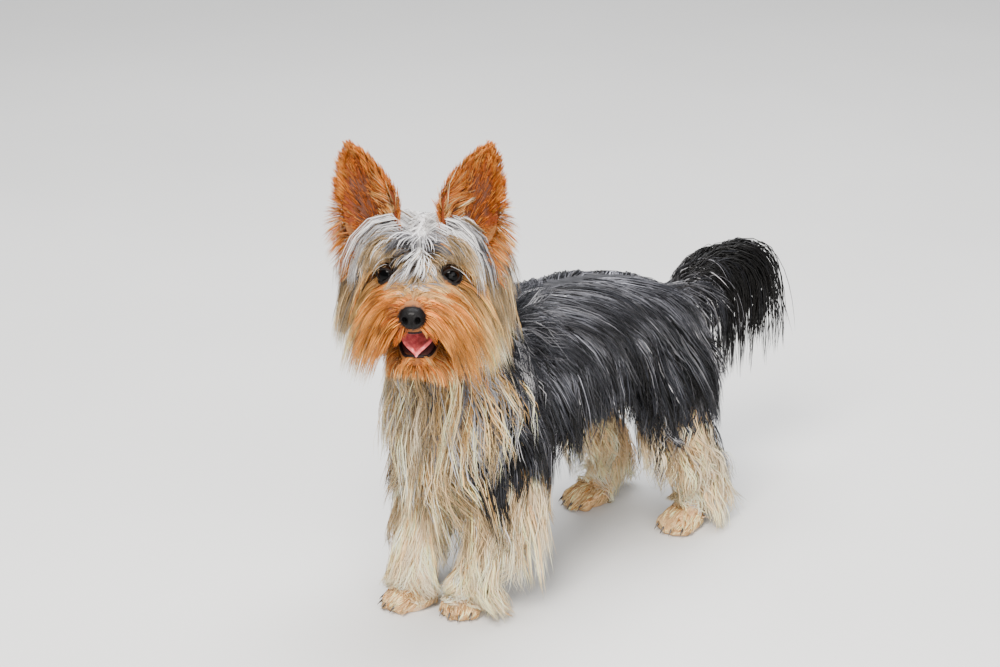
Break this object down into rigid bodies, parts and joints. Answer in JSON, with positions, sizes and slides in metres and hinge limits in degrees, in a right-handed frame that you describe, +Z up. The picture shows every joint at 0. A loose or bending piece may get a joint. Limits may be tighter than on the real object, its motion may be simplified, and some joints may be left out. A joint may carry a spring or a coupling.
{
  "type": "yorkshire terrier dog model",
  "caption": "Life-size still model of a long-coated small terrier standing square, head turned to its left, mouth open, ears up, tail raised.",
  "frame": {"origin": "on the ground, under the middle of the model's bounding box", "axes": "+Y towards the tail, so the dog faces -Y, +X to its left side, +Z up"},
  "size_m": [0.1434, 0.3996, 0.3266],
  "materials": {
    "dark_steel_coat": "long silky steel-blue hair",
    "silver_coat": "long silky silver-grey hair",
    "tan_coat": "orange-tan hair",
    "blond_coat": "cream and blond hair",
    "black_coat": "black hair",
    "ear_skin": "thin skin under short red-tan hair",
    "eye": "wet and glossy",
    "nose": "moist black skin",
    "tongue": "moist pink",
    "claw": "dark horn",
    "skin": "skin under the hair"
  },
  "bodies": {
    "root": {"ear_left": "ear_skin", "ear_right": "ear_skin", "eye_left": "eye", "eye_right": "eye", "head": "tan_coat", "jaw": "tan_coat", "leg_front_left": "blond_coat", "leg_front_right": "blond_coat", "leg_hind_left": "blond_coat", "leg_hind_right": "blond_coat", "neck": "silver_coat", "nose": "nose", "tail": "black_coat", "tongue": "tongue", "torso": "dark_steel_coat"}
  },
  "joints": []
}
